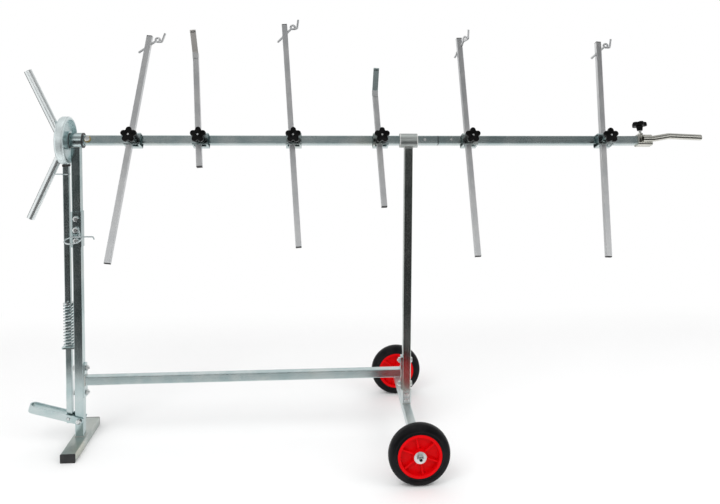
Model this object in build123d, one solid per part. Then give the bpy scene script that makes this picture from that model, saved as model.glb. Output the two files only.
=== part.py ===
from build123d import *
import os
from math import cos, radians, sin, tan

# Rotating body panel stand. Millimetres, +Z up, +X along the beam to the end handle,
# -Y the working side. The origin is on the floor under the axis of the head post.

# Frame
tube = 30.0                # square tube of posts, stretcher, axle beam and rotating beam
wall = 2.0                 # wall of that tube
corner = 3.0               # outer corner radius of that tube
post_spacing = 1158.0      # head post to rear post
beam_height = 1075.0       # floor to the axis of the rotating beam
stretcher_height = 228.0   # floor to the axis of the stretcher
fit = 0.2                  # gap on each side of a sliding or plugged square tube
running = 0.05             # radial gap of a shaft in its hole
seat_gap = 0.3             # gap between moving pieces whose faces meet
least_corner = 0.5         # smallest inner corner of a tube
end_round = 0.4            # rounding of a bar's ends, in diameters

# Foot
foot_width = 50.0
foot_height = 30.0
foot_length = 280.0
foot_wall = 2.5
foot_cap = 4.0             # thickness of the plastic end caps
plug_depth = 12.0          # how far a cap's plug goes into its tube
plug_corner = 0.6

# Head post splice
splice_centre = 766.0
splice_length = 124.0
splice_wall = 2.8
splice_pitch = 38.0        # spacing of its three bolts

# Bolts
bolt = 10.0
bolt_flats = 17.0
bolt_head = 6.4
nut_height = 8.0
bolt_end = 4.0             # thread past the nut
bolt_play = 0.3            # radial play of a bolt in its hole

# Stretcher ends
flange_thick = 6.0
flange_height = 120.0
flange_bolt_offset = 44.0  # from the stretcher's axis to each bolt

# Bearings
journal = 38.0             # shaft of the brake disc
head_sleeve = 53.0
head_sleeve_bore = 46.0
head_sleeve_length = 39.0
bush_flange = 2.6
head_bush_end = 4.0        # thicker flange on the beam's side
rear_sleeve = 50.8
rear_sleeve_bore = 44.0
rear_sleeve_length = 58.0
bush_reach = 26.0          # how far each rear bush goes into its sleeve
head_bush_reach = 17.0

# Brake
disc_radius = 83.0
disc_width = 30.0
disc_round = 8.0
disc_recess = 12.0
disc_rim = 11.0
disc_hub = 32.0
disc_bore = 30.0
disc_gap = 0.4             # from the disc to the flange of the head bush
handle_tube = 26.0
handle_wall = 2.0
handle_lean = 24.8         # degrees from the disc's plane
handle_drop = 16.0         # from the disc's axis down to the middle of the V
handle_root = 22.0         # from there to where a handle's axis meets the disc
handle_reach = 255.0       # and to a handle's tip
rod = 20.0
rod_wall = 2.0
rod_corner = 2.0
rod_gap = 10.0             # from the head post to the rod
rod_bottom = 78.0
shoe_height = 7.0
shoe_depth = 26.0
clip_wire = 3.0
clip_space = 13.0          # from the shoe's plug to the clip
clip_reach = 22.0          # how far the clip stands out past the rod
clip_end = 4.0             # straight end on the other side of the rod
guide_top = 350.0
guide_thick = 5.0
guide_width = 34.0
guide_margin = 12.0        # plate beyond the rod
spring_wire = 4.0
spring_radius = 16.2       # to the middle of the wire
spring_turns = 14
spring_length = 152.0
pin = 8.0
pin_end = 2.0              # pin past each leg of the pedal
pedal_height = 88.0        # floor to the pedal's pivot
pedal_rise = 16.0          # degrees that the pedal slopes up at rest
pedal_length = 160.0       # pivot to the inside of its bend
pedal_strip = 24.0
pedal_thick = 5.0
pedal_tail = 14.0          # strip beyond the pivot
pedal_play = 0.5           # from each leg to the post
pin_slot = 12.0            # length of the slot that the rod's pin works in
slot_play = 1.0            # width of that slot beyond the pin

# Wheels
wheel_radius = 100.0
wheel_width = 44.0
rim_radius = 71.0
rim_lip = 9.0
rim_web = 8.0
rim_ribs = 6
rib_turn = 40.0            # degrees from +X to the first rib
rib_thick = 5.0
rib_height = 11.0
hub_radius = 22.0
hub_length = 50.0
track = 700.0
axle = 16.0
axle_thread = 12.0         # turned down end that takes the nut
axle_plug = 60.0           # square end inside the axle beam
hub_washer = 40.0
washer_thick = 3.0
axle_nut_flats = 19.0
axle_nut = 10.0
socket_height = 50.0       # sleeve on the axle beam that the rear post stands in
socket_bolt_low = 14.0
socket_bolt_pitch = 22.0

# Rotating beam
beam_roll = 20.0           # degrees that the beam's front face looks up at rest
beam_joint = 1264.0        # from the head post to the joint of its two tubes
beam_end = 2045.0
joint_gap = 0.4
spigot_length = 200.0
spigot_wall = 3.0
cross_bolt_x = 42.0
plug_length = 80.0         # square end of the journal inside the beam
joint_screw = 6.0
joint_screw_head = 9.6     # countersunk in the beam's wall
joint_screw_offset = 48.0

# Panel arms: place along the beam, tilt in degrees, length above and below the beam, and hook
arm_tube = 20.0
arm_wall = 1.5
arm_corner = 2.0
arms = (
    (190.0, 5.8, 385.0, 430.0, "rod"),
    (420.0, -4.5, 319.0, 103.0, "strip"),
    (742.0, -4.2, 436.0, 383.0, "rod"),
    (1049.0, -3.3, 178.0, 247.0, "strip"),
    (1369.0, -1.6, 389.0, 420.0, "rod"),
    (1868.0, 3.7, 381.0, 428.0, "rod"),
)
arm_cap = 3.0
hook_rod = 8.0
hook_drop = 40.0           # from the arm's top to where the hook passes through it
hook_low = (-29.0, -28.0)  # along and up, from there to the hook's low end
hook_high = (24.6, 23.8)   # and to its loop
hook_loop = 7.5            # to the middle of the loop's wire
hook_out = (15.5, 1.0)     # from the loop's lowest point to the bend
hook_tip = (6.0, 34.5)     # from the bend to the tip
hook_bend = 7.0
hook_turns = {1369.0: -54.0}  # degrees round the arm's axis, where a hook faces another way
strip_turns = {420.0: -2.0, 1049.0: 6.5}  # degrees that a strip is welded askew on the arm's face
strip_width = 20.0
strip_thick = 4.0
strip_height = 75.0        # past the arm's top
strip_overlap = 22.0       # strip welded along the arm
strip_lean = 20.0          # degrees that it is bent forward there
strip_lip = 7.0
strip_bend = 55.0          # degrees
weld = 0.3                 # how far a welded piece sinks into its seat

# Arm clamps
clamp_width = 54.0
clamp_wall = 3.0
clamp_bend = 7.0
clamp_drop = 7.5           # room under the beam
clamp_offset = 7.0         # from an arm's middle to its clamp's
clamp_fit = 0.4            # round the beam and in front of the arm
slot_length = 42.0
clamp_nut = 8.0

# Star knobs
knob_radius = 27.5
knob_lobes = 5
lobe_radius = 9.5
knob_core = 19.0
knob_thick = 15.0
knob_round = 2.5
knob_hub = 16.0
hub_top = 12.5
hub_bottom = 10.0
knob_hole = 12.0
arm_knob_stand = 17.0      # screw showing between nut and knob
end_knob_stand = 11.0

# End handle
collar_wall = 4.8
collar_length = 54.0
collar_lap = 40.0          # how far it goes over the beam
grip_tube = 22.0
grip_wall = 2.0
grip_sink = 1.2            # how deep the grip is let into the collar's face
end_handle_length = 194.0  # past the collar
end_handle_rise = 62.0     # length in which it climbs
end_handle_bend = 60.0
end_handle_in = 27.0       # how far its tip comes back towards the beam's axis
end_handle_up = 12.0

# Spray gun holder
holder_wire = 4.8
holder_ring = 27.0         # to the middle of the wire
holder_eye = 8.0
holder_out = 46.0          # from the splice sleeve to the ring's centre
holder_drop = 21.0         # from the eye to the back of the ring
holder_tilt = 16.0         # degrees that the ring tips forward
holder_lift = 1.25         # wire diameters that one turn of the ring climbs
holder_side = 4.0
holder_tail = 58.0         # from the ring's centre to the hook of its tail
ring_corners = 8           # bends that make the ring round
ring_bend = 0.9            # their radius, in ring radii
stem_bend = 1.6            # bends at the stem's foot and top, in wire diameters
eye_bend = 1.2

half = tube / 2
rear_x = post_spacing
rod_x = -half - rod_gap - rod / 2
disc_x = rod_x
disc_right = disc_x + disc_width / 2
sleeve_left = disc_right + disc_gap + bush_flange
sleeve_right = sleeve_left + head_sleeve_length
beam_start = sleeve_right + head_bush_end + seat_gap
shoe_top = beam_height - disc_radius - seat_gap
shoe_bottom = shoe_top - shoe_height
clip_height = shoe_bottom - plug_depth - clip_space - clip_wire / 2
rod_pin_z = pedal_height - rod_x * tan(radians(pedal_rise))
front_of_beam = half + fit
front_of_arm = front_of_beam + arm_tube
axle_beam_end = track / 2 - hub_length / 2 - washer_thick - 2 * seat_gap
wheel_y = track / 2

X_DIR, Y_DIR, Z_DIR = (1, 0, 0), (0, 1, 0), (0, 0, 1)
beam_frame = Location((0, 0, beam_height), (-beam_roll, 0, 0))


def tube_section(width, depth, thickness, radius):
    inner_corner = max(radius - thickness, least_corner)
    hollow = RectangleRounded(width - 2 * thickness, depth - 2 * thickness, inner_corner)
    return RectangleRounded(width, depth, radius) - hollow


def run(start, end, section, x_dir):
    start, end = Vector(*start), Vector(*end)
    return extrude(Plane(origin=start, x_dir=x_dir, z_dir=end - start) * section, (end - start).length)


def frame_tube(start, end, x_dir=Y_DIR):
    return run(start, end, tube_section(tube, tube, wall, corner), x_dir)


def round_bar(start, end, diameter):
    return run(start, end, Circle(diameter / 2), perpendicular(start, end))


def perpendicular(start, end):
    along = (Vector(*end) - Vector(*start)).normalized()
    return Z_DIR if abs(along.Z) < 0.9 else X_DIR


def rounded_bar(start, end, diameter):
    bar = round_bar(start, end, diameter)
    return fillet(bar.edges().filter_by(GeomType.CIRCLE), end_round * diameter)


def bent_wire(points, diameter, radius):
    path = FilletPolyline(*points, radius=radius)
    return sweep(Plane(origin=path @ 0, z_dir=path % 0) * Circle(diameter / 2), path)


def bent_tube(points, diameter, thickness, radius):
    section = Circle(diameter / 2) - Circle(diameter / 2 - thickness)
    runs = [sweep(Plane(origin=edge @ 0, z_dir=edge % 0) * section, edge)
            for edge in FilletPolyline(*points, radius=radius).edges()]
    body = runs[0]
    for piece in runs[1:]:
        body += piece
    return body


def hole(centre, direction, diameter, length):
    return Plane(origin=centre, z_dir=direction) * Cylinder(diameter / 2, length)


def hex_prism(flats, height):
    return extrude(RegularPolygon(flats / 2, 6, major_radius=False), height)


def bolt_hole(centre, direction, length):
    return hole(centre, direction, bolt + 2 * bolt_play, length)


def nut_ring(flats, height, bore):
    return hex_prism(flats, height) - Pos(0, 0, height / 2) * Cylinder(bore / 2, 2 * height)


def bolt_with_nut(seat, direction, grip):
    place = Plane(origin=seat, z_dir=direction)
    length = grip + nut_height + bolt_end
    screw = Pos(0, 0, -bolt_head) * hex_prism(bolt_flats, bolt_head)
    screw += extrude(Circle(bolt / 2), length)
    nut = Pos(0, 0, grip) * nut_ring(bolt_flats, nut_height, bolt + 2 * running)
    return [place * screw, place * nut]


def plug_cap(width, depth, thickness, radius, cap):
    less = 2 * (thickness + fit)
    inside = RectangleRounded(width - less, depth - less, plug_corner)
    return extrude(RectangleRounded(width, depth, radius), cap) + extrude(inside, -plug_depth)


# Foot: a flat tube across the head end, with a plastic cap in each end
def make_foot():
    reach = foot_length / 2 - foot_cap
    middle = foot_height / 2
    section = tube_section(foot_width, foot_height, foot_wall, corner)
    body = run((0, -reach, middle), (0, reach, middle), section, X_DIR)
    caps = []
    for side in (-1, 1):
        place = Plane(origin=(0, side * reach, middle), x_dir=X_DIR, z_dir=(0, side, 0))
        caps.append(place * plug_cap(foot_width, foot_height, foot_wall, corner, foot_cap))
    return body, caps


flange_bolt_heights = [stretcher_height + side * flange_bolt_offset for side in (-1, 1)]
splice_bolt_heights = [splice_centre + step * splice_pitch for step in (-1, 0, 1)]


# Head post: lower tube on the foot, upper tube with the head bearing, and the splice that joins them
def make_head_post():
    lower = frame_tube((0, 0, foot_height), (0, 0, splice_centre))
    for height in flange_bolt_heights:
        lower -= bolt_hole((0, 0, height), X_DIR, 2 * tube)
    lower -= hole((0, 0, pedal_height), Y_DIR, bolt + 2 * running, 2 * tube)
    upper = frame_tube((0, 0, splice_centre), (0, 0, beam_height))
    sleeve_middle = ((sleeve_left + sleeve_right) / 2, 0, beam_height)
    upper -= hole(sleeve_middle, X_DIR, head_sleeve, 2 * tube)
    upper += hole(sleeve_middle, X_DIR, head_sleeve, head_sleeve_length)
    upper -= hole(sleeve_middle, X_DIR, head_sleeve_bore, 2 * head_sleeve_length)
    bottom, top = splice_centre - splice_length / 2, splice_centre + splice_length / 2
    outside = tube + 2 * (fit + splice_wall)
    section = tube_section(outside, outside, splice_wall, corner + splice_wall)
    splice = run((0, 0, bottom), (0, 0, top), section, X_DIR)
    for height in splice_bolt_heights:
        drill = bolt_hole((0, 0, height), Y_DIR, 2 * outside)
        lower, upper, splice = lower - drill, upper - drill, splice - drill
    return lower, upper, splice


splice_face = half + fit + splice_wall


# Stretcher between the posts, with a bolted flange welded on each end
def make_stretcher():
    left, right = half, rear_x - half
    inner_left, inner_right = left + flange_thick, right - flange_thick
    body = frame_tube((inner_left, 0, stretcher_height), (inner_right, 0, stretcher_height))
    for centre in (left + flange_thick / 2, right - flange_thick / 2):
        flange = Pos(centre, 0, stretcher_height) * Box(flange_thick, tube, flange_height)
        flange = fillet(flange.edges().filter_by(Axis.X), corner)
        for height in flange_bolt_heights:
            flange -= bolt_hole((centre, 0, height), X_DIR, 2 * flange_thick)
        body += flange
    return body


# Rear post with its bearing sleeve, standing in the socket of the axle beam
axle_top = wheel_radius + half
socket_bolt_heights = [axle_top + socket_bolt_low + step * socket_bolt_pitch for step in (0, 1)]
socket_face = half + fit + splice_wall


def make_rear_post():
    post = frame_tube((rear_x, 0, axle_top), (rear_x, 0, beam_height))
    middle = (rear_x, 0, beam_height)
    post -= hole(middle, X_DIR, rear_sleeve, 2 * tube)
    post += hole(middle, X_DIR, rear_sleeve, rear_sleeve_length)
    post -= hole(middle, X_DIR, rear_sleeve_bore, 2 * rear_sleeve_length)
    for height in flange_bolt_heights:
        post -= bolt_hole((rear_x, 0, height), X_DIR, 2 * tube)
    for height in socket_bolt_heights:
        post -= bolt_hole((rear_x, 0, height), Y_DIR, 2 * tube)
    return post


def make_axle_beam():
    ends = [(rear_x, side * axle_beam_end, wheel_radius) for side in (-1, 1)]
    beam = frame_tube(*ends, X_DIR)
    outside = 2 * socket_face
    section = tube_section(outside, outside, splice_wall, corner + splice_wall)
    socket = run((rear_x, 0, axle_top), (rear_x, 0, axle_top + socket_height), section, X_DIR)
    for height in socket_bolt_heights:
        socket -= bolt_hole((rear_x, 0, height), Y_DIR, 2 * outside)
    return beam + socket


# Bolts and nuts of the frame, one group
def make_frame_bolts():
    group = []
    for step, height in enumerate(splice_bolt_heights):
        stand = holder_wire + fit if step == 1 else 0
        group += bolt_with_nut((0, -splice_face - stand, height), Y_DIR, 2 * splice_face + stand)
    for height in flange_bolt_heights:
        group += bolt_with_nut((-half, 0, height), X_DIR, tube + flange_thick)
        group += bolt_with_nut((rear_x + half, 0, height), (-1, 0, 0), tube + flange_thick)
    for height in socket_bolt_heights:
        group += bolt_with_nut((rear_x, -socket_face, height), Y_DIR, 2 * socket_face)
    return group


# Plastic bushes of the head bearing, one from each end of its sleeve
def make_head_bushes():
    outside = head_sleeve_bore - 2 * running
    bushes = []
    for face, side, flange in ((sleeve_left, 1, bush_flange), (sleeve_right, -1, head_bush_end)):
        place = Plane(origin=(face, 0, beam_height), z_dir=(side, 0, 0))
        body = extrude(Circle(outside / 2), head_bush_reach) + extrude(Circle(head_sleeve / 2), -flange)
        bushes.append(place * (body - Cylinder(journal / 2 + running, 4 * head_bush_reach)))
    return bushes


# Bushes that turn with the beam in the rear sleeve: round outside, square inside
def make_rear_bushes():
    square = RectangleRounded(tube + 2 * fit, tube + 2 * fit, corner)
    bushes = []
    for side in (-1, 1):
        face = rear_x + side * (rear_sleeve_length / 2 + seat_gap)
        place = Plane(origin=(face, 0, 0), x_dir=Y_DIR, z_dir=(side, 0, 0))
        body = extrude(Circle(rear_sleeve_bore / 2 - running), -bush_reach)
        body += extrude(Circle(rear_sleeve / 2), bush_flange)
        bushes.append(beam_frame * (place * (body - extrude(square, 2 * bush_reach, both=True))))
    return bushes


# Brake disc: a thick rim with rounded edges, dished on the bearing's side
def make_brake_disc():
    body = extrude(Circle(disc_radius), disc_width)
    body = fillet(body.edges(), disc_round)
    dish = Circle(disc_radius - disc_rim) - Circle(disc_hub)
    body -= Pos(0, 0, disc_width - disc_recess) * extrude(dish, disc_recess)
    body -= Cylinder(disc_bore / 2 + running, 4 * disc_width)
    return Plane(origin=(disc_x - disc_width / 2, 0, beam_height), z_dir=X_DIR) * body


# Journal: turned end in the disc, bearing shaft, and a square plug inside the beam
def make_journal():
    left = disc_x - disc_width / 2
    shaft = round_bar((left, 0, 0), (disc_right, 0, 0), disc_bore)
    shaft += round_bar((disc_right, 0, 0), (beam_start, 0, 0), journal)
    inside = tube - 2 * wall - 2 * fit
    square = RectangleRounded(inside, inside, corner - wall)
    shaft += run((beam_start, 0, 0), (beam_start + plug_length, 0, 0), square, Y_DIR)
    shaft -= bolt_hole((cross_bolt_x, 0, 0), Y_DIR, 2 * tube)
    return beam_frame * shaft


# Two handle tubes joined in a V, cut flush to the disc's outer face
def make_handles():
    face = disc_x - disc_width / 2
    middle = beam_height - handle_drop
    slope = tan(radians(handle_lean))

    def both_bars(diameter, reach):
        bars = []
        for side in (-1, 1):
            inside = (face + handle_root * slope, 0, middle)
            tip = (face - (reach - handle_root) * slope, 0, middle + side * reach)
            bars.append(round_bar(inside, tip, diameter))
        return bars[0] + bars[1]

    handles = both_bars(handle_tube, handle_reach) - both_bars(handle_tube - 2 * handle_wall, 2 * handle_reach)
    return split(handles, Plane(origin=(face, 0, beam_height), z_dir=X_DIR), keep=Keep.BOTTOM)


# Countersunk screw, or with some play the hole for it. Local +Z points into the tube.
def joint_screw_shape(play, length):
    depth = (joint_screw_head - joint_screw) / 2
    head = Cone(joint_screw_head / 2 + play, joint_screw / 2 + play, depth)
    return Pos(0, 0, depth / 2) * head + extrude(Circle(joint_screw / 2 + play), length)


# Rotating beam: two tubes on a spigot, held by screws, pinned to the journal by a cross bolt
def make_beam():
    front = frame_tube((beam_start, 0, 0), (beam_joint - joint_gap / 2, 0, 0))
    back = frame_tube((beam_joint + joint_gap / 2, 0, 0), (beam_end, 0, 0))
    inside = tube - 2 * wall - 2 * fit
    section = tube_section(inside, inside, spigot_wall, corner - wall)
    ends = [(beam_joint + side * spigot_length / 2, 0, 0) for side in (-1, 1)]
    spigot = run(*ends, section, Y_DIR)
    front -= bolt_hole((cross_bolt_x, 0, 0), Y_DIR, 2 * tube)
    screws = bolt_with_nut((cross_bolt_x, -half, 0), Y_DIR, tube)
    for side in (-1, 1):
        place = Plane(origin=(beam_joint + side * joint_screw_offset, -half, 0), z_dir=Y_DIR)
        drill = place * joint_screw_shape(running, half)
        front, back, spigot = front - drill, back - drill, spigot - drill
        screws.append(place * joint_screw_shape(0, wall + 2 * fit + spigot_wall))
    return [beam_frame * piece for piece in (front, back, spigot)] + [[beam_frame * s for s in screws]]


# Wheel: solid tyre on a ribbed plastic rim
def make_wheel(side):
    place = Plane(origin=(rear_x, side * wheel_y, wheel_radius), x_dir=X_DIR, z_dir=(0, side, 0))
    tyre = Cylinder(wheel_radius, wheel_width)
    tyre = fillet(tyre.edges(), wheel_width / 4) - Cylinder(rim_radius, 2 * wheel_width)
    inner = rim_radius - rim_lip
    rim = Cylinder(rim_radius - fit, wheel_width) - Cylinder(inner, 2 * wheel_width)
    rim += Cylinder(inner + rim_lip / 2, rim_web)
    for step in range(rim_ribs):
        length = inner + rim_lip / 2
        rib = Pos(length / 2, 0, 0) * Box(length, rib_thick, rim_web + 2 * rib_height)
        rim += Rot(0, 0, 360 / rim_ribs * step + rib_turn) * rib
    rim += Cylinder(hub_radius, hub_length)
    rim -= Cylinder(axle / 2 + running, 2 * hub_length)
    return place * tyre, place * rim


# Axle ends, with their square plugs in the axle beam, and the washers and nuts that keep the wheels
def make_axles():
    axles, hardware = [], []
    inside = tube - 2 * wall - 2 * fit
    inner_end = axle_beam_end - axle_plug
    inner_washer = axle_beam_end + seat_gap
    outer_washer = wheel_y + hub_length / 2 + seat_gap
    nut_seat = outer_washer + washer_thick
    axle_tip = nut_seat + axle_nut + bolt_end
    for side in (-1, 1):
        place = Plane(origin=(rear_x, 0, wheel_radius), x_dir=X_DIR, z_dir=(0, side, 0))
        plug = extrude(RectangleRounded(inside, inside, corner - wall), axle_plug)
        shaft = extrude(Circle(axle / 2), outer_washer - inner_end)
        shaft += extrude(Circle(axle_thread / 2), axle_tip - inner_end)
        axles.append(place * (Pos(0, 0, inner_end) * (plug + shaft)))
        for start, radius, size in ((inner_washer, hub_washer / 2 - corner, axle),
                                    (outer_washer, hub_washer / 2, axle_thread)):
            washer = extrude(Circle(radius) - Circle(size / 2 + running), washer_thick)
            hardware.append(place * (Pos(0, 0, start) * washer))
        nut = nut_ring(axle_nut_flats, axle_nut, axle_thread + 2 * running)
        hardware.append(place * (Pos(0, 0, nut_seat) * nut))
    return axles, hardware


# Brake rod, the shoe on its top, its pins, the clip, the guide on the post and the return spring
rod_pins_reach = half + pedal_play + pedal_thick + pin_end
spring_top = guide_top + seat_gap + spring_length
spring_pin_z = spring_top + seat_gap + washer_thick + pin / 2


def make_brake_rod():
    section = tube_section(rod, rod, rod_wall, rod_corner)
    body = run((rod_x, 0, rod_bottom), (rod_x, 0, shoe_bottom), section, X_DIR)
    pins = []
    for height, reach in ((rod_pin_z, rod_pins_reach), (spring_pin_z, spring_radius)):
        body -= hole((rod_x, 0, height), Y_DIR, pin + 2 * running, 2 * rod)
        pins.append(round_bar((rod_x, -reach, height), (rod_x, reach, height), pin))
    body -= hole((rod_x, 0, clip_height), X_DIR, clip_wire + 2 * running, 2 * rod)
    opening = RectangleRounded(rod + 2 * fit, rod + 2 * fit, rod_corner)
    washer = Circle(spring_radius + spring_wire / 2) - opening
    pins.append(Pos(rod_x, 0, spring_top + seat_gap / 2) * extrude(washer, washer_thick))
    shoe = Pos(rod_x, 0, shoe_bottom + shoe_height / 2) * Box(rod, shoe_depth, shoe_height)
    shoe -= hole((rod_x, 0, beam_height), X_DIR, 2 * (disc_radius + seat_gap), 2 * rod)
    inside = rod - 2 * rod_wall - 2 * fit
    shoe += Pos(rod_x, 0, shoe_bottom) * extrude(RectangleRounded(inside, inside, plug_corner), -plug_depth)
    return body, shoe, pins


def make_clip():
    outer = rod_x - rod / 2 - clip_reach
    inner = rod_x + rod / 2 + clip_end
    front = -rod / 2 - clip_wire / 2 - fit
    bow = front / 2
    points = [(inner, 0, clip_height), (outer, 0, clip_height), (outer - clip_wire, bow, clip_height),
              (outer, 2 * bow, clip_height), (rod_x - rod / 2, front - clip_wire, clip_height),
              (rod_x, front, clip_height), (rod_x + rod / 2, front - clip_wire, clip_height)]
    return bent_wire(points, clip_wire, clip_wire)


def make_rod_guide():
    left = rod_x - rod / 2 - guide_margin
    plate = Box(-half - left, guide_width, guide_thick)
    plate = Pos((left - half) / 2, 0, guide_top - guide_thick / 2) * plate
    plate = fillet(plate.edges().filter_by(Axis.Z).group_by(Axis.X)[0], guide_margin / 2)
    opening = RectangleRounded(rod + 4 * fit, rod + 4 * fit, rod_corner)
    return plate - Pos(rod_x, 0, guide_top) * extrude(opening, 2 * guide_thick, both=True)


def make_spring():
    start = guide_top + seat_gap + spring_wire / 2
    height = spring_length - spring_wire
    path = Pos(rod_x, 0, start) * Helix(height / spring_turns, height, spring_radius)
    profile = Plane(origin=path @ 0, z_dir=path % 0) * Circle(spring_wire / 2)
    return sweep(profile, path, is_frenet=True)


# Pedal: one strip bent to a U round the rod and the post
def make_pedal():
    inner = half + pedal_play
    outer = inner + pedal_thick
    legs = Pos((pedal_tail - pedal_length) / 2, 0) * Rectangle(pedal_length + pedal_tail, 2 * outer)
    legs += Pos(-pedal_length, 0) * Circle(outer)
    space = Pos((pedal_tail - pedal_length) / 2, 0) * Rectangle(pedal_length + pedal_tail, 2 * inner)
    space += Pos(-pedal_length, 0) * Circle(inner)
    space += Pos(pedal_tail, 0) * Rectangle(pedal_tail, 2 * inner)
    strap = extrude(legs - space, pedal_strip / 2, both=True)
    strap -= hole((0, 0, 0), Y_DIR, bolt + 2 * running, 4 * outer)
    pin_distance = -rod_x / cos(radians(pedal_rise))
    slot = Plane(origin=(-pin_distance, 0, 0), x_dir=X_DIR, z_dir=Y_DIR)
    slot = slot * SlotOverall(pin_slot, pin + slot_play)
    strap -= extrude(slot, 2 * outer, both=True)
    return Location((0, 0, pedal_height), (0, pedal_rise, 0)) * strap


def make_pedal_bolt():
    seat = half + pedal_play + pedal_thick + seat_gap
    return bolt_with_nut((0, -seat, pedal_height), Y_DIR, 2 * seat)


# Panel arms. The local frame is the beam's: -Y is its front, +Z the way the arms point up.
def arm_frame(place, tilt):
    middle = -(front_of_beam + arm_tube / 2)
    return beam_frame * Location((place, middle, 0), (0, tilt, 0))


def make_rod_hook(top):
    cross = Vector(0, 0, top - hook_drop)
    low = cross + Vector(hook_low[0], 0, hook_low[1])
    loop_side = cross + Vector(hook_high[0], 0, hook_high[1])
    middle = loop_side + (loop_side - cross).normalized() * hook_loop
    tip_start = middle - Vector(0, 0, hook_loop)
    bend = tip_start + Vector(hook_out[0], 0, hook_out[1])
    tip = bend + Vector(hook_tip[0], 0, hook_tip[1])
    hook = rounded_bar(tuple(low), tuple(loop_side), hook_rod)
    hook += Plane(origin=middle, z_dir=Y_DIR) * Torus(hook_loop, hook_rod / 2)
    return hook + bent_wire([tuple(tip_start), tuple(bend), tuple(tip)], hook_rod, hook_bend)


def make_strip_hook(top):
    middle = -arm_tube / 2 - strip_thick / 2 + weld
    points = [(0, middle, top - strip_overlap), (0, middle, top)]
    for length, turn in ((strip_height, strip_lean), (strip_lip, strip_lean + strip_bend)):
        bend = radians(turn)
        points.append((0, points[-1][1] - length * sin(bend), points[-1][2] + length * cos(bend)))
    path = FilletPolyline(*points, radius=2 * strip_thick)
    start = Plane(origin=points[0], x_dir=X_DIR, z_dir=Z_DIR)
    return sweep(start * Rectangle(strip_width, strip_thick), path)


def make_arm(place, tilt, above, below, hook):
    section = tube_section(arm_tube, arm_tube, arm_wall, arm_corner)
    body = run((0, 0, arm_cap - below), (0, 0, above - arm_cap), section, X_DIR)
    if hook == "rod":
        body += Rot(0, 0, hook_turns.get(place, 0.0)) * make_rod_hook(above)
    else:
        body += Pos(0, 0, above) * (Rot(0, strip_turns.get(place, 0.0), 0) * make_strip_hook(0.0))
    cap_size = arm_tube - 2 * weld
    cap = plug_cap(cap_size, cap_size, arm_wall, arm_corner, arm_cap)
    caps = [Location((0, 0, arm_cap - below), (180, 0, 0)) * cap, Pos(0, 0, above - arm_cap) * cap]
    frame = arm_frame(place, tilt)
    return frame * body, [frame * piece for piece in caps]


# Arm clamp: a bent strap round beam and arm, slotted for the arm, with a nut welded on its front
def make_clamp(place):
    inner_front = front_of_arm + clamp_fit
    inner_back = half + clamp_fit
    depth = inner_front + inner_back
    middle = (inner_back - inner_front) / 2
    height = 2 * inner_back + clamp_drop
    outside = RectangleRounded(depth + 2 * clamp_wall, height + 2 * clamp_wall, clamp_bend)
    inside = RectangleRounded(depth, height, clamp_bend - clamp_wall)
    plane = Plane(origin=(0, middle, -clamp_drop / 2), x_dir=Y_DIR, z_dir=X_DIR)
    strap = extrude(plane * (outside - inside), clamp_width / 2, both=True)
    slot_depth = inner_front - half
    slot = Pos(0, slot_depth / 2 - inner_front, 0) * Box(slot_length, slot_depth, 2 * height)
    strap -= fillet(slot.edges().filter_by(Axis.Z), arm_corner)
    face = Plane(origin=(0, -inner_front - clamp_wall, -clamp_drop / 2), z_dir=(0, -1, 0))
    strap += face * hex_prism(bolt_flats, clamp_nut)
    strap -= hole((0, -inner_front, -clamp_drop / 2), Y_DIR, bolt + 2 * running, 4 * clamp_nut)
    return beam_frame * Pos(place, 0, 0) * strap


# Star knob on its screw. Local +Z points from the screw's tip out through the knob.
def make_knob(screw_length):
    lobe_ring = knob_radius - lobe_radius
    star = Circle(knob_core)
    for step in range(knob_lobes):
        star += Rot(0, 0, 360 / knob_lobes * step + 90) * Pos(lobe_ring, 0) * Circle(lobe_radius)
    grip = extrude(star, knob_thick)
    grip = fillet(grip.faces().sort_by(Axis.Z)[-1].edges(), knob_round)
    hub = Pos(0, 0, -knob_hub / 2) * Cone(hub_bottom, hub_top, knob_hub)
    knob = Pos(0, 0, screw_length + knob_hub) * (grip + hub)
    screw = extrude(Circle(bolt / 2), screw_length + knob_hole)
    return [knob - screw, screw]


arm_screw = seat_gap + clamp_wall + clamp_nut + arm_knob_stand
collar_half = half + fit + collar_wall
end_screw = collar_wall + clamp_nut + end_knob_stand


def make_arm_knob(place):
    tip = Plane(origin=(place, -front_of_arm - fit, -clamp_drop / 2), x_dir=X_DIR, z_dir=(0, -1, 0))
    return [beam_frame * (tip * piece) for piece in make_knob(arm_screw)]


# End handle: a square collar over the beam's end, clamped by a knob, with a cranked tube on its front
collar_start = beam_end - collar_lap
collar_end = collar_start + collar_length


def make_end_handle():
    outside = 2 * collar_half
    section = tube_section(outside, outside, collar_wall, corner + collar_wall)
    collar = run((collar_start, 0, 0), (collar_end, 0, 0), section, Y_DIR)
    knob_x = (collar_start + beam_end) / 2
    collar += Pos(knob_x, 0, collar_half) * hex_prism(bolt_flats, clamp_nut)
    collar -= hole((knob_x, 0, collar_half), Z_DIR, bolt + 2 * running, 4 * clamp_nut)
    front = -collar_half - grip_tube / 2 + grip_sink
    inward = end_handle_in * end_handle_rise / end_handle_length
    points = [(collar_start + collar_length / 4, front, 0), (collar_end, front, 0),
              (collar_end + end_handle_rise, front + inward, end_handle_up),
              (collar_end + end_handle_length, front + end_handle_in, end_handle_up)]
    grip = bent_tube(points, grip_tube, grip_wall, end_handle_bend)
    block = run((collar_start, 0, 0), (collar_end, 0, 0), Rectangle(outside, outside), Y_DIR)
    return beam_frame * (collar + (grip - block))


def make_end_knob():
    tip = Plane(origin=((collar_start + beam_end) / 2, 0, half + fit), x_dir=X_DIR, z_dir=Z_DIR)
    return [beam_frame * (tip * piece) for piece in make_knob(end_screw)]


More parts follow.
